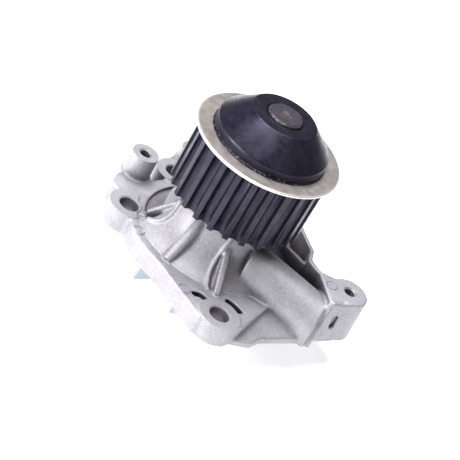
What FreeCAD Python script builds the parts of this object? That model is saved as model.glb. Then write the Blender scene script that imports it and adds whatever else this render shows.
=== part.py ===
"""Timing-belt water pump: die-cast housing, toothed pulley, bearing, face seal and impeller.

The origin is on the shaft axis, in the gasket face that bolts to the engine block.
+Z points along the shaft, towards the belt pulley. Every size is in millimetres.
"""
import FreeCAD, Part
import os
import Sketcher
from math import cos, hypot, radians, sin
from FreeCAD import Placement, Rotation, Vector

# ---------------------------------------------------------------- driving dimensions
DIMENSIONS = {
    # housing casting
    "plate_top": 9.5, "boss_top": 10, "left_post_top": 21, "rear_post_top": 15.5,
    "end_post_top": 21, "apron_edge": 3, "apron_rise": 8.6,
    "bolt_boss_radius": 9.3, "bolt_hole_radius": 4.55, "post_radius": 6.45, "post_foot": 7.4,
    "thread_radius": 3, "thread_depth": 13, "thread_mouth": 3.3,
    "end_boss_top_radius": 8.7, "end_boss_foot_radius": 9.7,
    "bell_foot_radius": 36, "neck_foot_radius": 23.2, "neck_foot_height": 28,
    "neck_top_radius": 20.4, "housing_top": 59.5,
    "chamber_radius": 33, "chamber_depth": 4, "seal_bore_radius": 17, "seal_bore_mouth": 6,
    "seal_bore_top": 14.2, "seal_boss_radius": 20.8, "hollow_top": 13, "weep_radius": 14.2, "weep_hole_radius": 2.4,
    "weep_height": 17.4,
    "duct_radius": 12, "duct_axis_offset": -13, "duct_start": 18, "duct_end": 57.3,
    "duct_start_height": 14, "duct_end_height": 6.4, "wall_top": 20.7, "wall_thickness": 2,
    # timing pulley
    "tooth_count": 25, "tooth_pitch": 8, "pitch_line_offset": 0.68, "groove_radius": 2.62,
    "groove_depth": 3, "teeth_bottom": 31.3, "teeth_top": 63.8, "cup_radius": 24.8,
    "spigot_radius": 26.2, "stake_radius": 26.7, "guide_radius": 33.9, "guide_thickness": 1.2,
    "hub_side_top": 70.1, "hub_shoulder_radius": 25.85, "hub_top": 80.3, "hub_top_radius": 15.03,
    "hub_boss_radius": 12.6, "hub_boss_bottom": 62,
    # shaft and bearing
    "shaft_radius": 7.96, "shaft_bottom": -10, "shaft_top": 81.3, "shaft_chamfer": 0.7,
    "race_radius": 15, "race_bore": 12.02, "race_bottom": 20.5,
    "ball_radius": 2.72, "ball_pitch": 10.24, "ball_height": 50, "ball_count": 9,
    "ball_groove": 2.84,
    "roller_radius": 1.98, "roller_pitch": 9.98, "roller_height": 30, "roller_length": 9,
    "roller_count": 12, "cage_inner": 9.1, "cage_outer": 11.2,
    "bearing_seal_radius": 12.9, "bearing_seal_thickness": 1.6, "bearing_seal_setback": 0.5,
    # slinger and face seal
    "slinger_radius": 12.2, "slinger_bottom": 16.6, "slinger_thickness": 1.4,
    "seal_cup_wall": 0.9, "seal_cup_flange": 19.4, "seal_sleeve_inner": 9.1,
    "carbon_inner": 10.6, "carbon_outer": 14, "carbon_bottom": 2.5, "carbon_top": 6,
    "spring_radius": 14.9, "spring_wire": 0.55, "spring_turns": 3,
    "spring_bottom": 7.9, "spring_top": 12.4,
    "mating_inner": 10.2, "mating_outer": 14.4, "mating_bottom": -1.4, "mating_top": 2.45,
    # impeller
    "impeller_radius": 31.2, "impeller_top": -3.5, "impeller_gauge": 1.6, "vane_tip": -16,
    "vane_count": 8, "vane_root_radius": 15.5, "vane_lean": 2,
    "impeller_hub_radius": 11, "impeller_hub_bottom": -9, "impeller_hub_top": -1.6,
}

# gasket-face outline of the flange, anticlockwise from the left-hand bolt boss
FLANGE_OUTLINE = [
    (-46.5, -6.5), (-43, -19.5), (-34.9, -21.7), (-14.7, -38.3), (12, -57), (26, -55.5),
    (30.1, -47.6), (36, -25), (58, -12), (70, 6), (62, 15.5), (42.9, 15), (33.6, 27.6), (29.5, 44),
    (20, 52), (-2, 56), (-22, 51), (-34.5, 47), (-38.4, 34), (-31.5, 22.5), (-35.3, 16.6),
    (-39, 12), (-47, 18), (-51.9, 3.8), (-51.5, -3.2),
]
FLANGE_RADIUS = 41
FRONT_ARC_EDGE = 2      # the outline's edge that follows the bell
# bolt bosses of the gasket flange and the posts that carry the belt cover
BOLT_BOSSES = {"left": (-39.2, -12.2), "front": (18.8, -49), "rear_left": (-30.7, 30),
               "rear": (-2, 47), "rear_right": (21, 43)}
POSTS = {"left": (-45.3, 13), "rear": (-28.6, 46)}
END_BOSS = (63.9, 0.75)
# thin flange in front of the duct: start of its edge, direction in degrees, length and depth
APRON_START, APRON_TURN, APRON_LENGTH, APRON_DEPTH = (31.2, -47.7), 44.7, 34.5, 17
APRON_TAB = [(29, -50.6), (36.8, -45.9), (39.5, -39.6), (33, -38)]
# block between the duct's end wall and the end boss
END_BLOCK = [(57.3, -13.4), (59.9, -14.4), (63, -7.9), (64, 0), (61, 8.9), (55.7, 4.7),
             (47.2, 2.8)]
# the web's outline at its foot and at its top
END_WEB = {0: [(58, -17), (60.2, -16.8), (63.5, -14.1), (70.9, -5.6), (66, 1), (58, 0)],
           20.6: [(58, -14.4), (60, -14.5), (62.4, -11.8), (68.4, -6.6), (64, 1), (58, 0)]}
SLOT_CENTRE, SLOT_SIZE, SLOT_TURN = (64.4, -12, 7.6), (2.7, 4.2, 6.4), 49.5
END_WALL = [(-23.3, 0), (-22.9, 4), (-21.2, 10), (-18, 15.6), (-13.4, 21), (3, 21), (3, 0)]
END_WALL_THICKNESS = 2.6
# tall thin wall behind the duct, outer face first
BACK_WALL = [(31, 33), (33, 27.1), (41.9, 15.1), (42.9, 8), (49, 3), (49, 0.4), (41.2, 5.6),
             (39.8, 14.3), (31, 25.9)]
STRIP_WALL = [(20, 4), (20, 24.4), (28.3, 21), (41.2, 17.2), (41.2, 4)]
STRIP_WALL_PLACE = 6.6
# kidney-shaped pockets beside the front bolt boss: centre, inner and outer radius, azimuths
KIDNEYS = [(BOLT_BOSSES["front"], 10.2, 13.4, (50, 93)), ((8.2, -47.4), 2.4, 5.2, (15, 155))]
KIDNEY_FLOOR = 4.5
# recess between the bell and the left-hand bosses
RECESS_INNER, RECESS_OUTER, RECESS_FLOOR, RECESS_AZIMUTHS = 27, 33.4, 7.8, (128, 201)
CLEARING_OUTER, CLEARING_AZIMUTHS = 38, (128, 211)
# the bell's hollow flank: its edge in the profile, and its radius
BELL_EDGE, BELL_FLARE = 2, 26
EJECTOR_MARKS = [(0.6, -45.6, "plate_top"), (-29.2, -25.6, "plate_top"), (55.4, -2.6, "end_post_top")]
MARK_INNER, MARK_OUTER, MARK_DEPTH = 2.5, 2.8, 0.25
# ribs on the bell: each outline is (distance from the axis, height)
FIN_AZIMUTH, FIN_THICKNESS = 289.5, 3
FIN_OUTLINE = [(17, 6), (17, 28), (22, 25.8), (41, 10.4), (41, 6)]
GUSSET_PLACE, GUSSET_THICKNESS = -12.4, 2.6
GUSSET_OUTLINE = [(-15, 6), (-15, 27.5), (-21, 25.5), (-32, 10.6), (-33, 6)]
ROUND_RIB_AZIMUTH, ROUND_RIB_RADIUS = 250, 2.5
ROUND_RIB_TOP, ROUND_RIB_FOOT = (21.5, 27), (35.8, 9)
# the duct's passage down to the gasket face: (place along X, height), and its width
PASSAGE_OUTLINE = [(27, 0), (53.5, 0), (53.5, 11.5), (36, 14), (27, 14)]
PASSAGE_WIDTH = 14
BOLT_HOLE_REACH, KIDNEY_REACH = 16, 5.2
# azimuths of a tooth groove and of a vane's root
GROOVE_PHASE, VANE_PHASE = 11.5, 45
# rubber bellows of the face seal
BELLOWS_FOLDS, BELLOWS_WALL, BELLOWS_REACH, BELLOWS_GAP = 3, 0.6, 1.9, 1.3

doc = FreeCAD.newDocument("water_pump")
sheet = doc.addObject("Spreadsheet::Sheet", "dims")
for row, (alias, size) in enumerate(DIMENSIONS.items(), start=1):
    sheet.set(f"A{row}", alias)
    sheet.set(f"B{row}", str(size))
    sheet.setAlias(f"B{row}", alias)
doc.recompute()

parts = []


# ---------------------------------------------------------------- drawing helpers
def number(size):
    """A size in millimetres, from a plain number or an expression on the sheet."""
    return float(sheet.evalExpression(size)) if isinstance(size, str) else float(size)


def dim(alias, extra=""):
    """The expression of one of the sheet's cells, with more arithmetic after it."""
    return f"dims.{alias}{extra}"


def bind(target, prop, size):
    """Set a property to a plain number, or tie it to an expression on the sheet."""
    if isinstance(size, str):
        target.setExpression(prop, size)
    elif prop.startswith("AttachmentOffset.Base."):
        setattr(target, "AttachmentOffset", moved(target.AttachmentOffset, prop[-1], size))
    else:
        setattr(target, prop, size)


def moved(placement, axis, size):
    """A placement with one coordinate of its base changed."""
    base = Vector(placement.Base)
    setattr(base, axis, size)
    return Placement(base, placement.Rotation)


def new_body(label):
    """An empty body, which becomes the file of this name."""
    body = doc.addObject("PartDesign::Body", label)
    body.Label = label
    parts.append(body)
    return body


def attach(feature, body, role, turn=None):
    """Put a sketch or primitive on one of the body's own origin planes."""
    plane = next(item for item in body.Origin.OriginFeatures if item.Role == role)
    feature.AttachmentSupport = [(plane, "")]
    feature.MapMode = "FlatFace"
    if turn is not None:
        feature.AttachmentOffset = Placement(Vector(), turn)


def pin_point(sketch, edge, point, place):
    """Dimension the start or end of an edge from the sketch's origin."""
    across = [("DistanceX", -2), ("DistanceY", -1)]
    for (kind, axis), size in zip(across, place):
        value = number(size)
        if abs(value) < 1e-9:
            sketch.addConstraint(Sketcher.Constraint("PointOnObject", edge, point, axis))
            continue
        index = sketch.addConstraint(Sketcher.Constraint(kind, -1, 1, edge, point, value))
        if isinstance(size, str):
            sketch.setExpression(f"Constraints[{index}]", size)


def new_sketch(body, name, role, height=0, turn=None):
    """An empty sketch on an origin plane, moved along the plane's normal by height."""
    sketch = body.newObject("Sketcher::SketchObject", name)
    attach(sketch, body, role, turn)
    bind(sketch, "AttachmentOffset.Base.z", height)
    return sketch


def draw_outline(sketch, corners, arcs=()):
    """A closed anticlockwise outline through its corners.

    arcs maps an edge's number to its radius: positive bulges outwards, negative inwards.
    """
    arcs = dict(arcs)
    places = [Vector(number(x), number(y), 0) for x, y in corners]
    first, count = sketch.GeometryCount, len(places)
    tails, heads = [], []       # which point of each edge is its start and its end
    for index, start in enumerate(places):
        end = places[(index + 1) % count]
        inward = index in arcs and number(arcs[index]) < 0
        tails.append(2 if inward else 1)
        heads.append(1 if inward else 2)
        if index in arcs:
            chord, radius = end - start, abs(number(arcs[index]))
            sagitta = radius - max(radius ** 2 - chord.Length ** 2 / 4, 0) ** 0.5
            outward = Vector(chord.y, -chord.x, 0).normalize() * (-1 if inward else 1)
            sketch.addGeometry(Part.Arc(start, (start + end) / 2 + outward * sagitta, end), False)
        else:
            sketch.addGeometry(Part.LineSegment(start, end), False)
    for index in range(count):
        after = (index + 1) % count
        sketch.addConstraint(Sketcher.Constraint("Coincident", first + index, heads[index],
                                                 first + after, tails[after]))
    for index, corner in enumerate(corners):
        pin_point(sketch, first + index, tails[index], corner)
    for index, radius in arcs.items():
        chord = places[(index + 1) % count] - places[index]
        if chord.Length > 1.99 * abs(number(radius)):
            sketch.addConstraint(Sketcher.Constraint("Horizontal", first + index, 3,
                                                     first + index, 1))
        else:
            fix_radius(sketch, first + index, abs(number(radius)))


def fix_radius(sketch, edge, radius):
    """Dimension the radius of a circle or an arc."""
    index = sketch.addConstraint(Sketcher.Constraint("Radius", edge, number(radius)))
    if isinstance(radius, str):
        sketch.setExpression(f"Constraints[{index}]", radius)


def draw_circle(sketch, centre, radius):
    """A circle with its centre and radius dimensioned."""
    circle = Part.Circle(Vector(number(centre[0]), number(centre[1]), 0), Vector(0, 0, 1),
                         number(radius))
    edge = sketch.addGeometry(circle, False)
    pin_point(sketch, edge, 3, centre)
    fix_radius(sketch, edge, radius)


def pad(body, sketch, length, both_ways=False):
    """Extrude a sketch into the body."""
    feature = body.newObject("PartDesign::Pad", sketch.Name + "_pad")
    feature.Profile = sketch
    feature.Midplane = both_ways
    bind(feature, "Length", length)
    body.Tip = feature
    return feature


def pocket(body, sketch, length, upward=True):
    """Cut a sketch out of the body, along the sketch's normal or against it."""
    feature = body.newObject("PartDesign::Pocket", sketch.Name + "_cut")
    feature.Profile = sketch
    feature.Reversed = upward
    bind(feature, "Length", length)
    body.Tip = feature
    return feature


def loft_between(body, name, sections):
    """Join sketches with straight sides."""
    loft = body.newObject("PartDesign::AdditiveLoft", name)
    loft.Profile = sections[0]
    loft.Sections = sections[1:]
    loft.Ruled = True
    body.Tip = loft


def turn_about_shaft(body, sketch, cut=False):
    """Revolve a sketch about the shaft axis, as solid or as a cut."""
    kind = "PartDesign::Groove" if cut else "PartDesign::Revolution"
    feature = body.newObject(kind, sketch.Name + ("_groove" if cut else "_turned"))
    feature.Profile = sketch
    feature.ReferenceAxis = (sketch, ["V_Axis"])
    feature.Angle = 360
    body.Tip = feature
    return feature


def turned_part(label, profile):
    """A body turned about the shaft axis from a (radius, height) profile."""
    body = new_body(label)
    sketch = new_sketch(body, label + "_profile", "XZ_Plane")
    draw_outline(sketch, profile)
    turn_about_shaft(body, sketch)
    return body


def turned_cut(body, name, profile):
    """Cut a turned (radius, height) profile out of a body."""
    sketch = new_sketch(body, name, "XZ_Plane")
    draw_outline(sketch, profile)
    return turn_about_shaft(body, sketch, cut=True)


def primitive(body, kind, name, sizes, place, turn=None):
    """An additive or subtractive primitive, standing on the body's XY plane."""
    feature = body.newObject("PartDesign::" + kind, name)
    attach(feature, body, "XY_Plane", turn)
    for prop, size in sizes.items():
        bind(feature, prop, size)
    for axis, size in zip("xyz", place):
        bind(feature, "AttachmentOffset.Base." + axis, size)
    body.Tip = feature
    return feature


def polar(radius, azimuth):
    """The point at a radius and an azimuth in degrees."""
    return (radius * cos(radians(azimuth)), radius * sin(radians(azimuth)))


def draw_sector(sketch, centre, inner, outer, azimuths):
    """A ring sector: two arcs about a centre, joined by radial edges."""
    first_azimuth, last_azimuth = azimuths
    ends = [(outer, first_azimuth), (outer, last_azimuth), (inner, last_azimuth),
            (inner, first_azimuth)]
    middle_azimuth = (first_azimuth + last_azimuth) / 2
    corners = [Vector(centre[0] + polar(*end)[0], centre[1] + polar(*end)[1], 0) for end in ends]
    middles = {0: polar(outer, middle_azimuth), 2: polar(inner, middle_azimuth)}
    for index, start in enumerate(corners):
        end = corners[(index + 1) % 4]
        if index in middles:
            middle = Vector(centre[0] + middles[index][0], centre[1] + middles[index][1], 0)
            sketch.addGeometry(Part.Arc(start, middle, end), False)
        else:
            sketch.addGeometry(Part.LineSegment(start, end), False)


# ---------------------------------------------------------------- housing
def make_housing():
    """The die casting: gasket flange, bell, bearing neck, bosses, ribs and outlet duct."""
    body = new_body("pump_housing")
    add_flange(body)
    add_bell(body)
    add_duct(body)
    add_ribs(body)
    cut_inside(body)
    cut_details(body)
    cut_holes(body)
    return body


def add_flange(body):
    """The flange plate with its bolt bosses, posts and the thin apron in front of the duct."""
    plate = new_sketch(body, "flange_outline", "XY_Plane")
    draw_outline(plate, FLANGE_OUTLINE, {FRONT_ARC_EDGE: FLANGE_RADIUS})
    pad(body, plate, dim("plate_top"))
    bosses = new_sketch(body, "bolt_bosses", "XY_Plane")
    for centre in BOLT_BOSSES.values():
        draw_circle(bosses, centre, dim("bolt_boss_radius"))
    pad(body, bosses, dim("boss_top"))
    for name, (x, y) in POSTS.items():
        primitive(body, "AdditiveCylinder", f"{name}_post_foot",
                  {"Radius": dim("post_foot"), "Height": dim("plate_top")}, (x, y, 0))
        primitive(body, "AdditiveCylinder", f"{name}_post",
                  {"Radius": dim("post_radius"), "Height": dim(f"{name}_post_top")}, (x, y, 0))
    apron = new_sketch(body, "apron_section", "XZ_Plane")
    apron.AttachmentOffset = Placement(Vector(APRON_START[0], 0, -APRON_START[1]),
                                       Rotation(Vector(0, 1, 0), APRON_TURN - 90))
    draw_outline(apron, [(0, 0), (0, dim("apron_edge")), (-APRON_DEPTH, dim("apron_rise")),
                         (-APRON_DEPTH, 0)])
    pad(body, apron, APRON_LENGTH).Reversed = True
    tab = new_sketch(body, "apron_tab", "XY_Plane")
    draw_outline(tab, APRON_TAB)
    pad(body, tab, dim("apron_edge"))


def add_bell(body):
    """The bell that rises from the flange to the bearing neck."""
    profile = new_sketch(body, "bell_profile", "XZ_Plane")
    draw_outline(profile, [
        (0, dim("plate_top", " - 5")), (dim("bell_foot_radius"), dim("plate_top", " - 5")),
        (dim("bell_foot_radius"), dim("plate_top", " + 0.6")),
        (dim("neck_foot_radius"), dim("neck_foot_height")),
        (dim("neck_top_radius"), dim("housing_top", " - 1")),
        (dim("neck_top_radius", " - 1"), dim("housing_top")), (0, dim("housing_top"))],
        {BELL_EDGE: -BELL_FLARE})
    turn_about_shaft(body, profile)
    recess = new_sketch(body, "bell_recess", "XY_Plane", RECESS_FLOOR)
    draw_sector(recess, (0, 0), RECESS_INNER, RECESS_OUTER, RECESS_AZIMUTHS)
    pocket(body, recess, 20)
    clearing = new_sketch(body, "bell_clearing", "XY_Plane", dim("plate_top"))
    draw_sector(clearing, (0, 0), RECESS_INNER, CLEARING_OUTER, CLEARING_AZIMUTHS)
    pocket(body, clearing, 20)


def add_duct(body):
    """The rounded outlet duct, its end wall, the end boss and the tall walls behind it."""
    sections = []
    for end in ("start", "end"):
        section = new_sketch(body, f"duct_{end}_section", "YZ_Plane", dim(f"duct_{end}"))
        near = dim("duct_axis_offset", " - dims.duct_radius")
        far = dim("duct_axis_offset", " + dims.duct_radius")
        height = dim(f"duct_{end}_height")
        draw_outline(section, [(near, 0), (far, 0), (far, height), (near, height)],
                     {2: dim("duct_radius")})
        sections.append(section)
    loft_between(body, "duct", sections)
    end_wall = new_sketch(body, "end_wall_section", "YZ_Plane", dim("duct_end"))
    draw_outline(end_wall, END_WALL)
    pad(body, end_wall, END_WALL_THICKNESS)
    block = new_sketch(body, "end_block_outline", "XY_Plane")
    draw_outline(block, END_BLOCK)
    pad(body, block, dim("end_post_top"))
    web_sections = []
    for place, (level, outline) in enumerate(END_WEB.items()):
        web_sections.append(new_sketch(body, f"end_web_outline_{place}", "XY_Plane", level))
        draw_outline(web_sections[-1], outline)
    loft_between(body, "end_web", web_sections)
    primitive(body, "AdditiveCone", "end_boss",
              {"Radius1": dim("end_boss_foot_radius"), "Radius2": dim("end_boss_top_radius"),
               "Height": dim("end_post_top")}, (*END_BOSS, 0))
    wall = new_sketch(body, "back_wall_outline", "XY_Plane")
    draw_outline(wall, BACK_WALL)
    pad(body, wall, dim("wall_top"))
    strip = new_sketch(body, "strip_wall_outline", "XZ_Plane", -STRIP_WALL_PLACE)
    draw_outline(strip, STRIP_WALL)
    pad(body, strip, dim("wall_thickness")).Reversed = True


def add_ribs(body):
    """The tall fin, the gusset to the left-hand boss and the half-round rib."""
    fin_turn = Rotation(Vector(0, 1, 0), FIN_AZIMUTH)
    fin = new_sketch(body, "fin_outline", "XZ_Plane", 0, fin_turn)
    draw_outline(fin, FIN_OUTLINE)
    pad(body, fin, FIN_THICKNESS, both_ways=True)
    gusset = new_sketch(body, "gusset_outline", "XZ_Plane", -GUSSET_PLACE)
    draw_outline(gusset, GUSSET_OUTLINE)
    pad(body, gusset, GUSSET_THICKNESS, both_ways=True)
    across, rise = (ROUND_RIB_TOP[0] - ROUND_RIB_FOOT[0], ROUND_RIB_TOP[1] - ROUND_RIB_FOOT[1])
    direction = Vector(*polar(across, ROUND_RIB_AZIMUTH), rise)
    primitive(body, "AdditiveCylinder", "round_rib",
              {"Radius": ROUND_RIB_RADIUS, "Height": hypot(across, rise)},
              (*polar(ROUND_RIB_FOOT[0], ROUND_RIB_AZIMUTH), ROUND_RIB_FOOT[1]),
              Rotation(Vector(0, 0, 1), direction))


def cut_inside(body):
    """The impeller chamber, seal bore, weep space, bearing bore and the duct's passage."""
    turned_cut(body, "bore_profile", [
        (0, -2), (dim("chamber_radius"), -2), (dim("chamber_radius"), dim("chamber_depth")),
        (dim("chamber_radius", " - 1.5"), dim("chamber_depth", " + 1")),
        (dim("seal_boss_radius", " + 5"), dim("chamber_depth", " + 1")),
        (dim("seal_boss_radius", " + 4"), dim("chamber_depth", " + 3")),
        (dim("seal_boss_radius", " + 4"), dim("hollow_top")),
        (dim("seal_boss_radius"), dim("hollow_top")),
        (dim("seal_boss_radius"), dim("seal_bore_mouth")),
        (dim("seal_bore_radius"), dim("seal_bore_mouth")),
        (dim("seal_bore_radius"), dim("seal_bore_top")),
        (dim("weep_radius"), dim("seal_bore_top")), (dim("weep_radius"), dim("race_bottom")),
        (dim("race_radius"), dim("race_bottom")), (dim("race_radius"), dim("housing_top", " + 2")),
        (0, dim("housing_top", " + 2"))])
    passage = new_sketch(body, "duct_passage", "XZ_Plane", dim("duct_axis_offset", " * -1"))
    draw_outline(passage, PASSAGE_OUTLINE)
    cut = pocket(body, passage, PASSAGE_WIDTH)
    cut.Midplane = True


def cut_details(body):
    """The kidney pockets, the slot in the end block and the round ejector marks."""
    for index, (centre, inner, outer, azimuths) in enumerate(KIDNEYS):
        kidney = new_sketch(body, f"kidney_{index}", "XY_Plane", KIDNEY_FLOOR)
        draw_sector(kidney, centre, inner, outer, azimuths)
        pocket(body, kidney, KIDNEY_REACH)
    turn = Rotation(Vector(0, 0, 1), SLOT_TURN)
    width, deep, tall = SLOT_SIZE
    corner = Vector(*SLOT_CENTRE) - turn.multVec(Vector(width / 2, deep / 2, 0))
    primitive(body, "SubtractiveBox", "web_slot",
              {"Length": width, "Width": deep, "Height": tall}, tuple(corner), turn)
    for index, (x, y, level) in enumerate(EJECTOR_MARKS):
        mark = new_sketch(body, f"ejector_mark_{index}", "XY_Plane", dim(level, f" - {MARK_DEPTH}"))
        draw_circle(mark, (x, y), MARK_INNER)
        draw_circle(mark, (x, y), MARK_OUTER)
        pocket(body, mark, 1)


def cut_holes(body):
    """The bolt holes, the threaded holes of posts and end boss, and the weep hole."""
    holes = new_sketch(body, "bolt_holes", "XY_Plane", -1)
    for centre in BOLT_BOSSES.values():
        draw_circle(holes, centre, dim("bolt_hole_radius"))
    pocket(body, holes, BOLT_HOLE_REACH)
    for name, (x, y) in {**POSTS, "end": END_BOSS}.items():
        primitive(body, "SubtractiveCylinder", f"{name}_thread_hole",
                  {"Radius": dim("thread_radius"), "Height": dim("thread_depth", " + 1")},
                  (x, y, dim(f"{name}_post_top", " - dims.thread_depth")))
        primitive(body, "SubtractiveCone", f"{name}_thread_mouth",
                  {"Radius1": dim("thread_radius"), "Radius2": dim("thread_mouth"),
                   "Height": dim("thread_mouth", " - dims.thread_radius")},
                  (x, y, dim(f"{name}_post_top", " - dims.thread_mouth + dims.thread_radius")))
    primitive(body, "SubtractiveCylinder", "weep_hole",
              {"Radius": dim("weep_hole_radius"), "Height": dim("bell_foot_radius")},
              (0, dim("weep_radius", " - 1"), dim("weep_height")),
              Rotation(Vector(1, 0, 0), -90))


# ---------------------------------------------------------------- pulley
def make_pulley():
    """The toothed pulley with its deep cup and the coned hub that grips the shaft."""
    outside = dim("tooth_count", " * dims.tooth_pitch / (2 * pi) - dims.pitch_line_offset")
    body = turned_part("timing_pulley", [
        (dim("shaft_radius", " + 0.01"), dim("hub_boss_bottom")),
        (dim("hub_boss_radius"), dim("hub_boss_bottom")),
        (dim("hub_boss_radius"), dim("hub_side_top", " + 3.4")),
        (dim("cup_radius", " - 4.8"), dim("hub_side_top", " - 0.6")),
        (dim("cup_radius", " - 2.4"), dim("teeth_top")),
        (dim("cup_radius"), dim("teeth_top", " - 4")), (dim("cup_radius"), dim("teeth_bottom")),
        (outside, dim("teeth_bottom")), (outside, dim("teeth_top")),
        (dim("spigot_radius"), dim("teeth_top")),
        (dim("spigot_radius"), dim("teeth_top", " + dims.guide_thickness")),
        (dim("stake_radius"), dim("teeth_top", " + dims.guide_thickness")),
        (dim("spigot_radius"), dim("teeth_top", " + dims.guide_thickness + 0.8")),
        (dim("spigot_radius"), dim("hub_side_top", " - 0.8")),
        (dim("hub_shoulder_radius"), dim("hub_side_top")),
        (dim("hub_top_radius"), dim("hub_top")), (dim("shaft_radius", " + 0.8"), dim("hub_top")),
        (dim("shaft_radius", " + 0.01"), dim("hub_top", " - 0.8"))])
    groove = new_sketch(body, "belt_groove", "XY_Plane", dim("teeth_bottom", " - 1"))
    middle = outside + " - dims.groove_depth + dims.groove_radius"
    draw_circle(groove, (middle, 0), dim("groove_radius"))
    cut = pocket(body, groove, dim("teeth_top", " - dims.teeth_bottom + 1"))
    doc.recompute()
    pattern = body.newObject("PartDesign::PolarPattern", "belt_grooves")
    pattern.Originals = [cut]
    pattern.Axis = (groove, ["N_Axis"])
    pattern.Angle = 360
    bind(pattern, "Occurrences", dim("tooth_count"))
    body.Tip = pattern
    body.Placement = Placement(Vector(), Rotation(Vector(0, 0, 1), GROOVE_PHASE))


def make_guide_disc():
    """The thin disc that keeps the belt on the pulley, with a rounded rim."""
    bottom, top = dim("teeth_top"), dim("teeth_top", " + dims.guide_thickness")
    turned_part("belt_guide_disc", [
        (dim("spigot_radius", " + 0.02"), bottom), (dim("guide_radius", " - 0.35"), bottom),
        (dim("guide_radius"), dim("teeth_top", " + 0.35")),
        (dim("guide_radius"), dim("teeth_top", " + dims.guide_thickness - 0.35")),
        (dim("guide_radius", " - 0.35"), top), (dim("spigot_radius", " + 0.02"), top)])


# ---------------------------------------------------------------- shaft and bearing
def make_shaft():
    """The shaft, which is also the bearing's inner race."""
    shaft = turned_part("drive_shaft", [
        (0, dim("shaft_bottom")), (dim("shaft_radius", " - dims.shaft_chamfer"), dim("shaft_bottom")),
        (dim("shaft_radius"), dim("shaft_bottom", " + dims.shaft_chamfer")),
        (dim("shaft_radius"), dim("shaft_top", " - dims.shaft_chamfer")),
        (dim("shaft_radius", " - dims.shaft_chamfer"), dim("shaft_top")), (0, dim("shaft_top"))])
    cut_ball_groove(shaft)


def cut_ball_groove(body):
    """A round groove for the balls, cut about the shaft axis."""
    groove = new_sketch(body, body.Label + "_ball_groove", "XZ_Plane")
    draw_circle(groove, (dim("ball_pitch"), dim("ball_height")), dim("ball_groove"))
    turn_about_shaft(body, groove, cut=True)


def make_outer_race():
    """The bearing's hardened outer sleeve, pressed into the housing neck."""
    bottom, top = dim("race_bottom"), dim("housing_top")
    lip = "dims.bearing_seal_thickness + dims.bearing_seal_setback"
    race = turned_part("bearing_outer_race", [
        (dim("race_bore"), f"{bottom} + {lip}"), (dim("bearing_seal_radius"), f"{bottom} + {lip}"),
        (dim("bearing_seal_radius"), bottom), (dim("race_radius", " - 0.5"), bottom),
        (dim("race_radius"), f"{bottom} + 0.5"), (dim("race_radius"), f"{top} - 0.5"),
        (dim("race_radius", " - 0.5"), top), (dim("bearing_seal_radius"), top),
        (dim("bearing_seal_radius"), f"{top} - ({lip})"), (dim("race_bore"), f"{top} - ({lip})")])
    cut_ball_groove(race)


def make_rolling_set(label, kind, count, pitch, level, sizes):
    """A ring of equal balls or rollers, one solid each, in one part."""
    elements = []
    for index in range(int(number(dim(count)))):
        element = doc.addObject(kind, f"{label}_{index}")
        for prop, size in sizes.items():
            bind(element, prop, size)
        angle = f"({index} * 360 / dims.{count}) * 1deg"
        element.setExpression("Placement.Base.x", f"dims.{pitch} * cos({angle})")
        element.setExpression("Placement.Base.y", f"dims.{pitch} * sin({angle})")
        element.setExpression("Placement.Base.z", level)
        elements.append(element)
    group = doc.addObject("Part::Compound", label)
    group.Label = label
    group.Links = elements
    parts.append(group)


def make_cage(label, count, half_width, hole_sizes, hole_place, hole_turn=None):
    """A cage ring with one pocket round each ball or roller."""
    level = hole_place[2]
    ring = turned_part(label, [
        (dim("cage_inner"), f"{level} - {half_width}"), (dim("cage_outer"), f"{level} - {half_width}"),
        (dim("cage_outer"), f"{level} + {half_width}"), (dim("cage_inner"), f"{level} + {half_width}")])
    hole = primitive(ring, "SubtractiveCylinder", label + "_pocket", hole_sizes, hole_place, hole_turn)
    if hole_turn is None:
        bind(hole, "AttachmentOffset.Base.z", f"{level} - {hole_sizes['Height']} / 2")
    doc.recompute()
    pattern = ring.newObject("PartDesign::PolarPattern", label + "_pockets")
    pattern.Originals = [hole]
    pattern.Axis = (doc.getObject(label + "_profile"), ["V_Axis"])
    pattern.Angle = 360
    bind(pattern, "Occurrences", dim(count))
    ring.Tip = pattern


def make_bearing_seals():
    """The two lipped seals that close the bearing's ends."""
    inner, outer = dim("shaft_radius", " + 0.05"), dim("bearing_seal_radius", " - 0.02")
    thick = "dims.bearing_seal_thickness"
    ends = {"front_bearing_seal": f"dims.housing_top - dims.bearing_seal_setback - {thick}",
            "rear_bearing_seal": "dims.race_bottom + dims.bearing_seal_setback"}
    for label, bottom in ends.items():
        turned_part(label, [
            (inner, f"{bottom} + 0.5"), (dim("shaft_radius", " + 1"), f"{bottom} + 0.3"),
            (dim("shaft_radius", " + 1.8"), bottom), (outer, bottom), (outer, f"{bottom} + {thick}"),
            (dim("shaft_radius", " + 1.8"), f"{bottom} + {thick}"),
            (dim("shaft_radius", " + 1"), f"{bottom} + {thick} - 0.3"),
            (inner, f"{bottom} + {thick} - 0.5")])


def make_slinger():
    """The ring on the shaft that throws leaked coolant out to the weep hole."""
    bore, bottom = dim("shaft_radius", " + 0.01"), dim("slinger_bottom")
    thick = "dims.slinger_thickness"
    turned_part("water_slinger", [
        (bore, f"{bottom} - 1"), (dim("shaft_radius", " + 1.8"), f"{bottom} - 1"),
        (dim("shaft_radius", " + 2.4"), bottom), (dim("slinger_radius"), bottom),
        (dim("slinger_radius"), f"{bottom} + {thick}"),
        (dim("shaft_radius", " + 1.8"), f"{bottom} + {thick}"), (bore, f"{bottom} + {thick}")])


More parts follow.
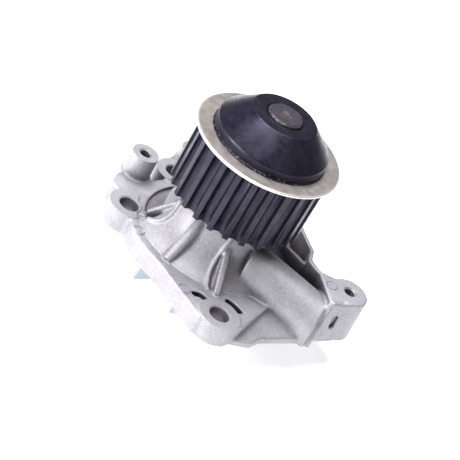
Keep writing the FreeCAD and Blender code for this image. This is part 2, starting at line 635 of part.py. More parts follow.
# ---------------------------------------------------------------- face seal
def make_face_seal():
    """The cartridge seal in the housing and the mating ring on the shaft."""
    wall = "dims.seal_cup_wall"
    mouth, top = dim("seal_bore_mouth"), dim("seal_bore_top")
    bore = dim("seal_bore_radius", " - 0.02")
    sleeve = dim("seal_sleeve_inner")
    turned_part("seal_cartridge_cup", [
        (sleeve, f"{top} - 7"), (f"{sleeve} + {wall}", f"{top} - 7"),
        (f"{sleeve} + {wall}", f"{top} - {wall}"), (f"{bore} - {wall}", f"{top} - {wall}"),
        (f"{bore} - {wall}", f"{mouth} - {wall}"), (dim("seal_cup_flange"), f"{mouth} - {wall}"),
        (dim("seal_cup_flange"), mouth), (bore, mouth), (bore, top), (sleeve, top)])
    turned_part("seal_carbon_ring", [
        (dim("carbon_inner", " + 0.6"), dim("carbon_bottom")),
        (dim("carbon_outer", " - 1"), dim("carbon_bottom")),
        (dim("carbon_outer", " - 1"), dim("carbon_bottom", " + 1")),
        (dim("carbon_outer"), dim("carbon_bottom", " + 1.4")),
        (dim("carbon_outer"), dim("carbon_top")), (dim("carbon_inner"), dim("carbon_top")),
        (dim("carbon_inner"), dim("carbon_bottom", " + 0.6"))])
    low = dim("carbon_top")
    turned_part("seal_spring_seat", [
        (dim("carbon_outer", " - 0.8"), f"{low} + 0.02"), (dim("carbon_outer", " + 0.05"), f"{low} + 0.02"),
        (dim("carbon_outer", " + 0.05"), dim("carbon_bottom", " + 1.6")),
        (dim("carbon_outer", " + 0.65"), dim("carbon_bottom", " + 1.6")),
        (dim("carbon_outer", " + 0.65"), f"{low} + 0.72"), (dim("spring_radius", " + 0.7"), f"{low} + 0.72"),
        (dim("spring_radius", " + 0.7"), f"{low} + 1.3"), (dim("carbon_outer", " - 0.8"), f"{low} + 1.3")])
    make_bellows()
    make_spring()
    turned_part("seal_mating_ring", [
        (dim("mating_inner"), dim("mating_bottom")), (dim("mating_outer", " - 0.4"), dim("mating_bottom")),
        (dim("mating_outer"), dim("mating_bottom", " + 0.4")),
        (dim("mating_outer"), dim("mating_top", " - 0.4")),
        (dim("mating_outer", " - 0.4"), dim("mating_top")), (dim("mating_inner"), dim("mating_top"))])
    turned_part("mating_ring_boot", [
        (dim("shaft_radius", " + 0.01"), dim("mating_bottom")),
        (dim("mating_inner", " - 0.02"), dim("mating_bottom")),
        (dim("mating_inner", " - 0.02"), dim("mating_top", " - 0.6")),
        (dim("shaft_radius", " + 0.01"), dim("mating_top", " - 0.2"))])


def make_bellows():
    """The rubber bellows that lets the carbon ring move and keeps coolant from the spring."""
    low, high = number(dim("carbon_top")) + 0.05, number(dim("seal_bore_top")) - 0.95
    inner = number(dim("seal_sleeve_inner")) + BELLOWS_GAP
    step = (high - low) / (2 * BELLOWS_FOLDS)
    ridge = [(inner + (BELLOWS_REACH if turn % 2 else 0), low + turn * step)
             for turn in range(2 * BELLOWS_FOLDS + 1)]
    outer_line = [(radius + BELLOWS_WALL, height) for radius, height in reversed(ridge)]
    turned_part("seal_bellows", ridge + outer_line)


def make_spring():
    """The coil spring that presses the carbon ring on to the mating ring."""
    helix = doc.addObject("Part::Helix", "spring_path")
    helix.setExpression("Radius", dim("spring_radius"))
    helix.setExpression("Height", dim("spring_top", " - dims.spring_bottom"))
    helix.setExpression("Pitch", "(dims.spring_top - dims.spring_bottom) / dims.spring_turns")
    wire = doc.addObject("Part::Circle", "spring_wire_section")
    wire.setExpression("Radius", dim("spring_wire"))
    wire.Placement = Placement(Vector(), Rotation(Vector(1, 0, 0), 90))
    wire.setExpression("Placement.Base.x", dim("spring_radius"))
    spring = doc.addObject("Part::Sweep", "seal_spring")
    spring.Label = "seal_spring"
    spring.Sections = [wire]
    spring.Spine = (helix, [])
    spring.Solid = True
    spring.Frenet = True
    spring.setExpression("Placement.Base.z", dim("spring_bottom"))
    parts.append(spring)


# ---------------------------------------------------------------- impeller
def make_impeller():
    """The pressed-steel impeller: a disc with straight vanes folded down from it."""
    top, gauge = dim("impeller_top"), "dims.impeller_gauge"
    body = turned_part("impeller", [
        (dim("shaft_radius", " + 1.05"), f"{top} - {gauge}"), (dim("impeller_radius"), f"{top} - {gauge}"),
        (dim("impeller_radius"), top), (dim("shaft_radius", " + 1.05"), top)])
    outline = new_sketch(body, "vane_outline", "XY_Plane", dim("vane_tip"))
    root, tip = number(dim("vane_root_radius")), number(dim("impeller_radius"))
    lean, half = number(dim("vane_lean")), number(dim("impeller_gauge")) / 2
    start = Vector(*polar(root, VANE_PHASE), 0)
    run = Vector(*polar(1, VANE_PHASE + lean), 0)
    side = Vector(-run.y, run.x, 0) * half
    length = (tip ** 2 - (root * sin(radians(lean))) ** 2) ** 0.5 - root * cos(radians(lean)) - 0.3
    corners = [start - side, start + run * length - side, start + run * length + side, start + side]
    draw_outline(outline, [(corner.x, corner.y) for corner in corners])
    vane = pad(body, outline, dim("impeller_top", " - dims.vane_tip - dims.impeller_gauge / 2"))
    doc.recompute()
    pattern = body.newObject("PartDesign::PolarPattern", "vanes")
    pattern.Originals = [vane]
    pattern.Axis = (outline, ["N_Axis"])
    pattern.Angle = 360
    bind(pattern, "Occurrences", dim("vane_count"))
    body.Tip = pattern


def make_impeller_hub():
    """The steel collar pressed on the shaft, which carries the impeller disc."""
    bore, top, low = dim("shaft_radius", " + 0.01"), dim("impeller_hub_top"), dim("impeller_hub_bottom")
    disc_bottom = "dims.impeller_top - dims.impeller_gauge"
    turned_part("impeller_hub", [
        (bore, low), (dim("impeller_hub_radius", " - 0.6"), low),
        (dim("impeller_hub_radius"), f"{low} + 0.6"), (dim("impeller_hub_radius"), disc_bottom),
        (dim("shaft_radius", " + 1"), disc_bottom), (dim("shaft_radius", " + 1"), top), (bore, top)])


# ---------------------------------------------------------------- build, check and write
make_housing()
make_pulley()
make_guide_disc()
make_shaft()
make_outer_race()
make_rolling_set("bearing_balls", "Part::Sphere", "ball_count", "ball_pitch", dim("ball_height"),
                 {"Radius": dim("ball_radius")})
make_rolling_set("bearing_rollers", "Part::Cylinder", "roller_count", "roller_pitch",
                 "dims.roller_height - dims.roller_length / 2",
                 {"Radius": dim("roller_radius"), "Height": dim("roller_length")})
make_cage("ball_cage", "ball_count", 4, {"Radius": dim("ball_radius", " + 0.12"), "Height": 8},
          (dim("cage_inner", " - 3"), 0, dim("ball_height")), Rotation(Vector(0, 1, 0), 90))
make_cage("roller_cage", "roller_count", 6.2,
          {"Radius": dim("roller_radius", " + 0.1"), "Height": "(dims.roller_length + 0.2)"},
          (dim("roller_pitch"), 0, dim("roller_height")))
make_bearing_seals()
make_slinger()
make_face_seal()
make_impeller()
make_impeller_hub()
doc.recompute()

faults = [f"{item.Name} ({item.getStatusString()})" for item in doc.Objects
          if {"Invalid", "Error"} & set(item.State)]
faults += [part.Label for part in parts if part.Shape.isNull() or not part.Shape.isValid()]
if faults:
    raise RuntimeError("failed: " + ", ".join(faults))
os.makedirs("parts", exist_ok=True)
for part in parts:
    part.Shape.exportStep(f"parts/{part.Label}.step")
    print(f"{part.Label:22s} {len(part.Shape.Solids):3d} solids {part.Shape.Volume:10.1f} mm3")
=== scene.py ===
"""Looks of the timing-belt water pump: finished casting, toothed pulley, guide disc and materials."""
from math import acos, atan2, cos, hypot, pi, radians, sin, tan

import bpy
import numpy as np
from mathutils import Matrix, Vector
from mathutils.geometry import interpolate_bezier


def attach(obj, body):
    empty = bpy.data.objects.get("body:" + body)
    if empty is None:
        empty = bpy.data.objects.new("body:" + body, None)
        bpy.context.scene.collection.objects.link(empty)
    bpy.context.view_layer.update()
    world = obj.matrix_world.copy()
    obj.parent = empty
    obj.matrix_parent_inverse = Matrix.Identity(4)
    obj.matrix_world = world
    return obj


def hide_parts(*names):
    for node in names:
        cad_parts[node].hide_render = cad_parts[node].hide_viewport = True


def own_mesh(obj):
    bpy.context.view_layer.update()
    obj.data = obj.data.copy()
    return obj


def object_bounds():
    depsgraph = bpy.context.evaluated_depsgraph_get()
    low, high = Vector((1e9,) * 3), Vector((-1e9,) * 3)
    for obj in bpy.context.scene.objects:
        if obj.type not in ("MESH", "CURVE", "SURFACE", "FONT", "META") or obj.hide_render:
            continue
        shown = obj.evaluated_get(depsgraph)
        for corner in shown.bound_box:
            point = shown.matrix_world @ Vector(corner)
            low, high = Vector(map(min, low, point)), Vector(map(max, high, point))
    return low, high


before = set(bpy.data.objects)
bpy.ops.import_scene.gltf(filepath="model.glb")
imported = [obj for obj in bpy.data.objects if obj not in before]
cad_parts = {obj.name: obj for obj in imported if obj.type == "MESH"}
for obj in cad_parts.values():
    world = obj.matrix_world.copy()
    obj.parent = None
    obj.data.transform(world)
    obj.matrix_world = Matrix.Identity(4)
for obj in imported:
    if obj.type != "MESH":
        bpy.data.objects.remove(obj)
cad_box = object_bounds()

MM = 0.001

# sizes that follow the CAD part, in millimetres
BOLT_HOLES = [(-39.2, -12.2), (18.8, -49), (-30.7, 30), (-2, 47), (21, 43)]
BOLT_BOSS_RADIUS, BOLT_BOSS_TOP, BOLT_HOLE_RADIUS = 9.3, 10, 4.55
POSTS = [(-45.3, 13, 21), (-28.6, 46, 15.5)]
POST_RADIUS = 6.45
THREADED = POSTS + [(63.9, 0.75, 21)]
THREAD_CORE, THREAD_MAJOR, THREAD_DEPTH, THREAD_PITCH, THREAD_MOUTH = 2.4, 3.0, 13, 1.0, 3.3
EJECTOR_MARKS = [(0.6, -45.6, 9.5), (-29.2, -25.6, 9.5), (55.4, -2.6, 21)]
EJECTOR_RADIUS = 2.65
# cast ridges on the bell, beside the fin and the gusset: radius, then a curve seen from above
RIDGES = [(0.85, (7.5, -21.2), (4.5, -26), (5.6, -32), (9.5, -37.5)),
          (1.25, (-31, -15.5), (-26, -20.5), (-20, -20), (-20, -12.5))]
TEETH, PITCH, PITCH_LINE = 25, 8, 0.68
GROOVE_RADIUS, GROOVE_DEPTH, GROOVE_PHASE, TIP_RADIUS = 2.62, 3.0, 11.5, 0.5
TEETH_BOTTOM, TEETH_TOP, CUP_RADIUS, SPIGOT_RADIUS = 31.3, 63.8, 24.8, 26.2
SHAFT_RADIUS = 7.96
DISC_RADIUS, DISC_TOP = 33.9, 65.0

# how the casting is made, in millimetres
SPARE_METAL = 1.0       # left on the faces that are cut afterwards
SKIN_VOXEL, SKIN_SMOOTHINGS, SKIN_SHARE_KEPT = 0.45, 10, 0.3
BOLT_CHAMFER, THREAD_FILL_RADIUS = 0.55, 4.3

# studio
FLOOR_GLOW, WORLD_STRENGTH = 0.54, 0.2
LIT_POINT = (0, 0, 0.03)
CAMERA_PLACE, CAMERA_LENS = (0.0044, -0.6605, 0.4422), 139.34
CAMERA_TILT, CAMERA_ROLL = 57.23, 30.78


# ---------------------------------------------------------------- mesh helpers
def new_object(name, points, faces, material):
    """An object from points in millimetres and faces."""
    mesh = bpy.data.meshes.new(name)
    mesh.from_pydata([tuple(MM * value for value in point) for point in points], [], faces)
    mesh.materials.append(material)
    obj = bpy.data.objects.new(name, mesh)
    bpy.context.scene.collection.objects.link(obj)
    return obj


def finish_piece(obj, body, node, angle):
    """Smooth shading with sharp edges past an angle, then hand the piece to the frame."""
    obj.data.polygons.foreach_set("use_smooth", [True] * len(obj.data.polygons))
    obj.data.set_sharp_from_angle(angle=radians(angle))
    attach(obj, body)
    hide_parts(node)


def on_circle(radius, height, turn, place=(0, 0)):
    """The point at an angle on a circle about a vertical axis."""
    return place[0] + radius * cos(turn), place[1] + radius * sin(turn), height


def rounded(corners, radii, steps=4, closed=False):
    """A line through corners, with an arc at each corner that radii gives a radius."""
    line, count = [], len(corners)
    for index, corner in enumerate(corners):
        radius = radii.get(index, 0)
        if not radius or (not closed and index in (0, count - 1)):
            line.append(corner)
            continue
        here = Vector(corner)
        back = Vector(corners[index - 1]) - here
        onward = Vector(corners[(index + 1) % count]) - here
        half = back.angle(onward) / 2
        reach = min(radius / tan(half), 0.49 * back.length, 0.49 * onward.length)
        start, end = here + back.normalized() * reach, here + onward.normalized() * reach
        for step in range(steps + 1):
            share = step / steps
            line.append(tuple(start * (1 - share) ** 2 + here * 2 * share * (1 - share)
                              + end * share ** 2))
    return line


def rings_to_faces(ring_count, ring_size):
    """Quads between rings of points, the last ring joined to the first."""
    faces = []
    for ring in range(ring_count):
        after = (ring + 1) % ring_count
        for place in range(ring_size):
            beside = (place + 1) % ring_size
            faces.append((ring * ring_size + place, ring * ring_size + beside,
                          after * ring_size + beside, after * ring_size + place))
    return faces


def turned(name, profile, material, steps=192):
    """A ring turned about the shaft axis from a closed (radius, height) profile."""
    points = [on_circle(radius, height, 2 * pi * step / steps)
              for radius, height in profile for step in range(steps)]
    return new_object(name, points, rings_to_faces(len(profile), steps), material)


def plug_of_rings(rings):
    """Points and faces of a closed plug made of rings, with a point at each end's centre."""
    size = len(rings[0])
    points = [point for ring in rings for point in ring]
    faces = rings_to_faces(len(rings), size)[:-size]
    for ring, flip in ((0, True), (len(rings) - 1, False)):
        centre = tuple(sum(point[axis] for point in rings[ring]) / size for axis in range(3))
        points.append(centre)
        for place in range(size):
            corners = (ring * size + place, ring * size + (place + 1) % size, len(points) - 1)
            faces.append(corners[::-1] if flip else corners)
    return points, faces


def round_plug(place, profile, steps=64):
    """A plug turned about a vertical axis at a place, from a (radius, height) line."""
    rings = [[on_circle(radius, height, 2 * pi * step / steps, place) for step in range(steps)]
             for radius, height in profile]
    return plug_of_rings(rings)


def thread_plug(place, top, steps=40, rows_per_turn=10):
    """The inside of a threaded hole: a helical ridge, a chamfered mouth and a coned bottom."""
    rings = []
    bottom = top - THREAD_DEPTH
    for radius, height in ((0.3, bottom - 1.3), (THREAD_CORE, bottom - 0.1)):
        rings.append([(radius, height)] * steps)
    rows = int(THREAD_DEPTH / THREAD_PITCH * rows_per_turn)
    for row in range(rows + 1):
        height = bottom + row * THREAD_DEPTH / rows
        mouth = max(0, THREAD_MOUTH - (top - height) * 1.1)
        ring = []
        for step in range(steps):
            wave = (height / THREAD_PITCH - step / steps) % 1
            radius = THREAD_CORE + (THREAD_MAJOR - THREAD_CORE) * (1 - abs(2 * wave - 1))
            ring.append((max(radius, mouth), height))
        rings.append(ring)
    rings.append([(THREAD_MOUTH + 0.6, top + 0.6)] * steps)
    placed = [[on_circle(radius, height, 2 * pi * step / steps, place)
               for step, (radius, height) in enumerate(ring)] for ring in rings]
    return plug_of_rings(placed)


def joined(shapes):
    """Points and faces of several shapes as one list of each."""
    points, faces = [], []
    for shape_points, shape_faces in shapes:
        faces += [tuple(len(points) + corner for corner in face) for face in shape_faces]
        points += shape_points
    return points, faces


def apply_modifiers(obj):
    """Replace an object's mesh by what its modifiers make of it."""
    bpy.context.view_layer.update()
    evaluated = obj.evaluated_get(bpy.context.evaluated_depsgraph_get())
    mesh = bpy.data.meshes.new_from_object(evaluated)
    obj.modifiers.clear()
    obj.data = mesh


def cut_away(obj, shapes):
    """Cut closed shapes out of an object."""
    tool = new_object(obj.name + "_cutter", *joined(shapes), obj.data.materials[0])
    cut = obj.modifiers.new("cut", "BOOLEAN")
    cut.operation = "DIFFERENCE"
    cut.solver = "MANIFOLD"
    cut.object = tool
    before = len(obj.data.polygons)
    apply_modifiers(obj)
    if len(obj.data.polygons) == before:
        raise RuntimeError("the cut changed nothing: " + obj.name)
    bpy.data.objects.remove(tool)


# ---------------------------------------------------------------- material helpers
class Finish:
    """A Principled material with short calls for the nodes that vary it."""

    def __init__(self, name, color, metallic, roughness):
        self.material = bpy.data.materials.new(name)
        self.material.use_nodes = True
        self.nodes = self.material.node_tree.nodes
        self.links = self.material.node_tree.links
        self.shader = self.nodes["Principled BSDF"]
        self.shader.inputs["Base Color"].default_value = (*color, 1)
        self.shader.inputs["Metallic"].default_value = metallic
        self.shader.inputs["Roughness"].default_value = roughness
        self.place = self.nodes.new("ShaderNodeTexCoord").outputs["Object"]

    def noise(self, size_mm, detail=3, roughness=0.55, stretch=(1, 1, 1), source=None):
        """Noise with features of about this size; stretch lengthens them along an axis."""
        mapping = self.nodes.new("ShaderNodeMapping")
        mapping.inputs["Scale"].default_value = [1 / (size_mm * MM * value) for value in stretch]
        self.links.new(source or self.place, mapping.inputs["Vector"])
        texture = self.nodes.new("ShaderNodeTexNoise")
        texture.inputs["Scale"].default_value = 1
        texture.inputs["Detail"].default_value = detail
        texture.inputs["Roughness"].default_value = roughness
        self.links.new(mapping.outputs["Vector"], texture.inputs["Vector"])
        return texture.outputs["Fac"]

    def math(self, operation, first, second=0.0):
        """A Math node on two sockets or numbers."""
        node = self.nodes.new("ShaderNodeMath")
        node.operation = operation
        for index, value in enumerate((first, second)):
            if isinstance(value, (int, float)):
                node.inputs[index].default_value = value
            else:
                self.links.new(value, node.inputs[index])
        return node.outputs[0]

    def span(self, value, low, high, out_low=0.0, out_high=1.0):
        """A value mapped from one range to another, with smooth ends."""
        node = self.nodes.new("ShaderNodeMapRange")
        node.interpolation_type = "SMOOTHSTEP"
        for name, number in (("From Min", low), ("From Max", high), ("To Min", out_low),
                             ("To Max", out_high)):
            node.inputs[name].default_value = number
        self.links.new(value, node.inputs["Value"])
        return node.outputs["Result"]

    def mix(self, share, first, second):
        """A colour between two colours, or colour sockets."""
        node = self.nodes.new("ShaderNodeMix")
        node.data_type = "RGBA"
        self.links.new(share, node.inputs["Factor"])
        for socket, value in ((node.inputs[6], first), (node.inputs[7], second)):
            if isinstance(value, tuple):
                socket.default_value = (*value, 1)
            else:
                self.links.new(value, socket)
        return node.outputs[2]

    def axis(self, name):
        """One coordinate of the object's space, in metres."""
        split = self.nodes.new("ShaderNodeSeparateXYZ")
        self.links.new(self.place, split.inputs[0])
        return split.outputs[name]

    def from_axis(self):
        """The distance from the shaft axis, in metres."""
        across = self.math("MULTIPLY", self.axis("X"), self.axis("X"))
        deep = self.math("MULTIPLY", self.axis("Y"), self.axis("Y"))
        return self.math("SQRT", self.math("ADD", across, deep))

    def rings(self, size_mm):
        """Fine marks that run round the shaft axis, as a lathe leaves."""
        joiner = self.nodes.new("ShaderNodeCombineXYZ")
        self.links.new(self.from_axis(), joiner.inputs["X"])
        return self.noise(size_mm, 2, source=joiner.outputs[0])

    def bump(self, height, strength, depth_mm):
        """Bump from a height socket, over any bump that is already there."""
        node = self.nodes.new("ShaderNodeBump")
        node.inputs["Strength"].default_value = strength
        node.inputs["Distance"].default_value = depth_mm * MM
        self.links.new(height, node.inputs["Height"])
        normal = self.shader.inputs["Normal"]
        if normal.is_linked:
            self.links.new(normal.links[0].from_socket, node.inputs["Normal"])
        self.links.new(node.outputs["Normal"], normal)

    def painted_corner_shade(self, color, dark, reach_mm):
        """A colour darkened by painted shade where other surfaces stand close, as in corners and holes.
        """
        # painted shade: ambient occlusion turns the colour towards the dark colour in corners, recesses
        # and holes
        open_share = self.nodes.new("ShaderNodeAmbientOcclusion")
        open_share.samples = 8
        open_share.inputs["Distance"].default_value = reach_mm * MM
        return self.mix(self.span(open_share.outputs["AO"], 0.35, 1.0), dark, color)

    def set(self, name, value):
        """Link a socket to one of the shader's inputs."""
        self.links.new(value, self.shader.inputs[name])


def cast_aluminium():
    """Die-cast skin: matt pale grey, with a fine grain, faint stains and painted shade in its corners
    and holes.
    """
    finish = Finish("cast_aluminium", (0.3, 0.3, 0.32), 0.4, 0.5)
    grain = finish.noise(0.75, 4, 0.65)
    stain = finish.noise(9, 3)
    pits = finish.span(finish.noise(0.45, 2), 0.58, 0.72)
    base = finish.mix(finish.span(stain, 0.3, 0.7), (0.29, 0.278, 0.315), (0.37, 0.362, 0.392))
    base = finish.mix(finish.span(grain, 0.38, 0.72), base, (0.45, 0.442, 0.47))
    base = finish.mix(finish.math("MULTIPLY", pits, 0.5), base, (0.11, 0.1, 0.12))
    # painted shade: the skin's colour goes dark where other surfaces stand close, in corners, recesses
    # and holes
    finish.set("Base Color", finish.painted_corner_shade(base, (0.06, 0.055, 0.068), 9))
    finish.set("Roughness", finish.span(grain, 0.3, 0.7, 0.42, 0.6))
    finish.bump(finish.noise(3.2, 3), 0.35, 0.35)
    finish.bump(grain, 0.5, 0.16)
    finish.bump(pits, 0.25, -0.1)
    return finish.material


def machined_aluminium():
    """Cut aluminium: brighter than the cast skin, with tool marks and painted shade in corners and
    holes.
    """
    finish = Finish("machined_aluminium", (0.45, 0.45, 0.46), 0.35, 0.33)
    marks = finish.noise(0.5, 3, stretch=(6, 0.6, 1))
    base = finish.mix(finish.noise(2.5), (0.34, 0.33, 0.362), (0.46, 0.45, 0.482))
    # painted shade: the cut faces and hole walls go dark where other surfaces stand close
    finish.set("Base Color", finish.painted_corner_shade(base, (0.115, 0.105, 0.13), 11))
    finish.set("Roughness", finish.span(marks, 0.3, 0.7, 0.25, 0.42))
    finish.bump(marks, 0.2, 0.04)
    return finish.material


def black_oxide():
    """Black oxide on turned steel: bluish black satin, with lathe marks and worn edges."""
    finish = Finish("black_oxide_steel", (0.03, 0.028, 0.045), 0.6, 0.36)
    cloud = finish.noise(6, 3)
    base = finish.mix(finish.span(cloud, 0.3, 0.7), (0.014, 0.0125, 0.026), (0.026, 0.023, 0.043))
    height = finish.axis("Z")
    # the staked collar just above the guide disc shows worn specks
    near_stake = finish.math(
        "MULTIPLY", finish.span(height, (DISC_TOP - 0.2) * MM, (DISC_TOP + 0.2) * MM),
        finish.span(height, (DISC_TOP + 1.9) * MM, (DISC_TOP + 1) * MM))
    specks = finish.span(finish.noise(1.1, 3), 0.56, 0.66)
    worn = finish.math("MULTIPLY", near_stake, specks)
    scratches = finish.span(finish.noise(0.5, 2, stretch=(1, 1, 9)), 0.68, 0.76)
    worn = finish.math("MAXIMUM", worn, finish.math("MULTIPLY", scratches, 0.14))
    finish.set("Base Color", finish.mix(worn, base, (0.24, 0.21, 0.2)))
    finish.set("Roughness", finish.span(finish.noise(2.2, 4), 0.3, 0.7, 0.26, 0.4))
    finish.bump(finish.rings(0.35), 0.25, 0.03)
    finish.bump(finish.noise(0.5, 3), 0.15, 0.03)
    return finish.material


def bright_plate():
    """Zinc-plated disc: warm pale grey, brushed and slightly stained."""
    finish = Finish("bright_plate", (0.4, 0.37, 0.35), 0.75, 0.4)
    brush = finish.noise(0.35, 3, stretch=(14, 1, 1))
    stain = finish.noise(5, 4)
    base = finish.mix(finish.span(stain, 0.35, 0.68), (0.5, 0.46, 0.435), (0.36, 0.32, 0.3))
    rim = finish.span(finish.from_axis(), (DISC_RADIUS - 1.1) * MM, (DISC_RADIUS - 0.4) * MM)
    finish.set("Base Color", finish.mix(rim, base, (0.7, 0.68, 0.66)))
    finish.set("Roughness", finish.span(brush, 0.3, 0.7, 0.28, 0.46))
    finish.bump(brush, 0.3, 0.04)
    return finish.material


def shaft_steel():
    """Ground shaft steel; its end is dark with a rusty patch and a worn rim."""
    finish = Finish("shaft_steel", (0.1, 0.095, 0.11), 0.7, 0.42)
    radius = finish.from_axis()
    blot = finish.span(finish.noise(1.6, 4, 0.7), 0.46, 0.62)
    patch = finish.math("MULTIPLY", finish.span(radius, 4.6 * MM, 0.8 * MM), blot)
    edge = finish.span(radius, (SHAFT_RADIUS - 0.76) * MM, (SHAFT_RADIUS - 0.16) * MM)
    rim = finish.math("MULTIPLY", edge, finish.span(finish.noise(1.3, 2), 0.42, 0.56))
    base = finish.mix(finish.noise(1.5), (0.055, 0.05, 0.072), (0.1, 0.095, 0.125))
    base = finish.mix(patch, base, (0.24, 0.16, 0.13))
    finish.set("Base Color", finish.mix(rim, base, (0.2, 0.17, 0.16)))
    finish.set("Roughness", finish.span(finish.noise(0.8, 3), 0.3, 0.7, 0.32, 0.5))
    finish.bump(finish.noise(0.7, 4), 0.3, 0.06)
    return finish.material


def plain_metal(name, dark, light, roughness, marks_mm=0.36):
    """A turned or pressed metal with faint marks round its axis."""
    finish = Finish(name, light, 0.95, roughness)
    finish.set("Base Color", finish.mix(finish.noise(3, 3), dark, light))
    marks = finish.rings(marks_mm)
    finish.set("Roughness", finish.span(marks, 0.3, 0.7, roughness - 0.06, roughness + 0.08))
    finish.bump(marks, 0.2, 0.02)
    return finish.material


def plain_solid(name, dark, light, roughness):
    """A moulded or lapped material that isn't metal."""
    finish = Finish(name, light, 0, roughness)
    finish.set("Base Color", finish.mix(finish.noise(2, 4), dark, light))
    grain = finish.noise(0.6, 3)
    finish.set("Roughness", finish.span(grain, 0.3, 0.7, roughness - 0.05, roughness + 0.1))
    finish.bump(grain, 0.2, 0.03)
    return finish.material


# ---------------------------------------------------------------- pieces
def leave_spare_metal(mesh, faced):
    """Raise the faces that are cut afterwards, so that the cutters have metal to take away."""
    places = np.empty(len(mesh.vertices) * 3)
    mesh.vertices.foreach_get("co", places)
    places = places.reshape(-1, 3) / MM
    places[np.abs(places[:, 2]) < 0.01, 2] = -SPARE_METAL
    for x, y, top, radius in faced:
        near = np.hypot(places[:, 0] - x, places[:, 1] - y) < radius + 0.2
        places[near & (np.abs(places[:, 2] - top) < 0.01), 2] = top + SPARE_METAL
    mesh.vertices.foreach_set("co", (places * MM).ravel())


def casting_fills(skin):
    """Plugs that close the CAD part's plain holes, and the cast ridges."""
    radius = BOLT_HOLE_RADIUS + 0.6
    fills = [round_plug(place, [(radius, -SPARE_METAL), (radius, BOLT_BOSS_TOP + SPARE_METAL)])
             for place in BOLT_HOLES]
    for x, y, top in THREADED:
        high = top + SPARE_METAL if (x, y, top) in POSTS else top
        fills.append(round_plug((x, y), [(THREAD_FILL_RADIUS, top - THREAD_DEPTH - 1.5),
                                         (THREAD_FILL_RADIUS, high)]))
    return fills + [cast_ridge(skin, *ridge) for ridge in RIDGES]


def soften_skin(obj):
    """Remesh and smooth a mesh, so that it has a casting's fillets, then thin it out."""
    remesh = obj.modifiers.new("skin", "REMESH")
    remesh.mode = "VOXEL"
    remesh.voxel_size = SKIN_VOXEL * MM
    soften = obj.modifiers.new("soften", "SMOOTH")
    soften.factor = 0.5
    soften.iterations = SKIN_SMOOTHINGS
    thin = obj.modifiers.new("thin", "DECIMATE")
    thin.ratio = SKIN_SHARE_KEPT
    apply_modifiers(obj)


def hole_cutters():
    """Cutters for the chamfered bolt holes, the threads and the ejector pins' lines."""
    radius, top = BOLT_HOLE_RADIUS, BOLT_BOSS_TOP
    bolt_hole = [(radius, -2), (radius, top - BOLT_CHAMFER), (radius + BOLT_CHAMFER, top),
                 (radius + 0.6, top + 0.1)]
    cuts = [round_plug(place, bolt_hole) for place in BOLT_HOLES]
    cuts += [thread_plug((x, y), height) for x, y, height in THREADED]
    cuts += [ring_cutter((x, y), level) for x, y, level in EJECTOR_MARKS]
    return cuts


def facing_cutters(faced):
    """Cutters that take the spare metal off the bosses, the posts and the gasket face."""
    cuts = [round_plug((x, y), [(radius + 0.25, top), (radius + 0.25, top + 2)])
            for x, y, top, radius in faced]
    span = 200
    corners = [(-span, -span), (span, -span), (span, span), (-span, span)]
    cuts.append(plug_of_rings([[(x, y, height) for x, y in corners] for height in (-5, 0)]))
    return cuts


def make_casting(cast, machined):
    """The housing as cast, with soft edges and fillets, then its cut faces, holes and threads."""
    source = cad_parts["pump_housing"]
    mesh = source.data.copy()
    mesh.materials.clear()
    mesh.materials.append(cast)
    obj = bpy.data.objects.new("housing_casting", mesh)
    bpy.context.scene.collection.objects.link(obj)
    faced = [(x, y, BOLT_BOSS_TOP, BOLT_BOSS_RADIUS) for x, y in BOLT_HOLES]
    faced += [(x, y, top, POST_RADIUS) for x, y, top in POSTS]
    leave_spare_metal(mesh, faced)
    filler = new_object("casting_fill", *joined(casting_fills(source)), cast)
    with bpy.context.temp_override(active_object=obj, object=obj,
                                   selected_editable_objects=[obj, filler]):
        bpy.ops.object.join()
    soften_skin(obj)
    cut_away(obj, hole_cutters())
    cut_away(obj, facing_cutters(faced))
    obj.data.materials.clear()
    obj.data.materials.append(cast)
    obj.data.materials.append(machined)
    mark_machined(obj.data, faced)
    finish_piece(obj, "housing", "pump_housing", angle=38)


def cast_ridge(skin, radius, *handles, steps=24, sides=12):
    """A bead that lies on the casting along a curve seen from above."""
    route = interpolate_bezier(*[Vector((x, y, 0)) for x, y in handles], steps)
    high = cad_box[1][2]
    line = [skin.ray_cast((place.x * MM, place.y * MM, high), (0, 0, -1))[1] / MM for place in route]
    rings = []
    for index, centre in enumerate(line):
        along = line[min(index + 1, steps - 1)] - line[max(index - 1, 0)]
        along.normalize()
        beside = along.cross((0, 0, 1)).normalized()
        above = along.cross(beside)
        rings.append([tuple(centre + radius * (cos(angle) * beside + sin(angle) * above))
                      for angle in (2 * pi * side / sides for side in range(sides))])
    return plug_of_rings(rings)


def ring_cutter(place, level, steps=48):
    """A thin ring that cuts the round line an ejector pin leaves."""
    section = [(EJECTOR_RADIUS, level - 0.25), (EJECTOR_RADIUS + 0.3, level + 0.1),
               (EJECTOR_RADIUS - 0.3, level + 0.1)]
    points = [on_circle(radius, height, 2 * pi * step / steps, place)
              for radius, height in section for step in range(steps)]
    return points, rings_to_faces(len(section), steps)


def mark_machined(mesh, faced):
    """Give the second material to the flat cut faces and to the walls of the holes."""
    count = len(mesh.polygons)
    centres, normals = np.empty(count * 3), np.empty(count * 3)
    mesh.polygons.foreach_get("center", centres)
    mesh.polygons.foreach_get("normal", normals)
    centres, normals = centres.reshape(-1, 3) / MM, normals.reshape(-1, 3)
    cut = (np.abs(centres[:, 2]) < 0.02) & (normals[:, 2] < -0.99)
    for x, y, top, radius in faced:
        near = np.hypot(centres[:, 0] - x, centres[:, 1] - y) < radius + 0.3
        cut |= near & (np.abs(centres[:, 2] - top) < 0.02) & (normals[:, 2] > 0.99)
    holes = [(x, y, BOLT_HOLE_RADIUS + 0.56) for x, y in BOLT_HOLES]
    holes += [(x, y, THREAD_MOUTH + 0.05) for x, y, _ in THREADED]
    for x, y, radius in holes:
        cut |= np.hypot(centres[:, 0] - x, centres[:, 1] - y) < radius
    mesh.polygons.foreach_set("material_index", cut.astype(np.int32))


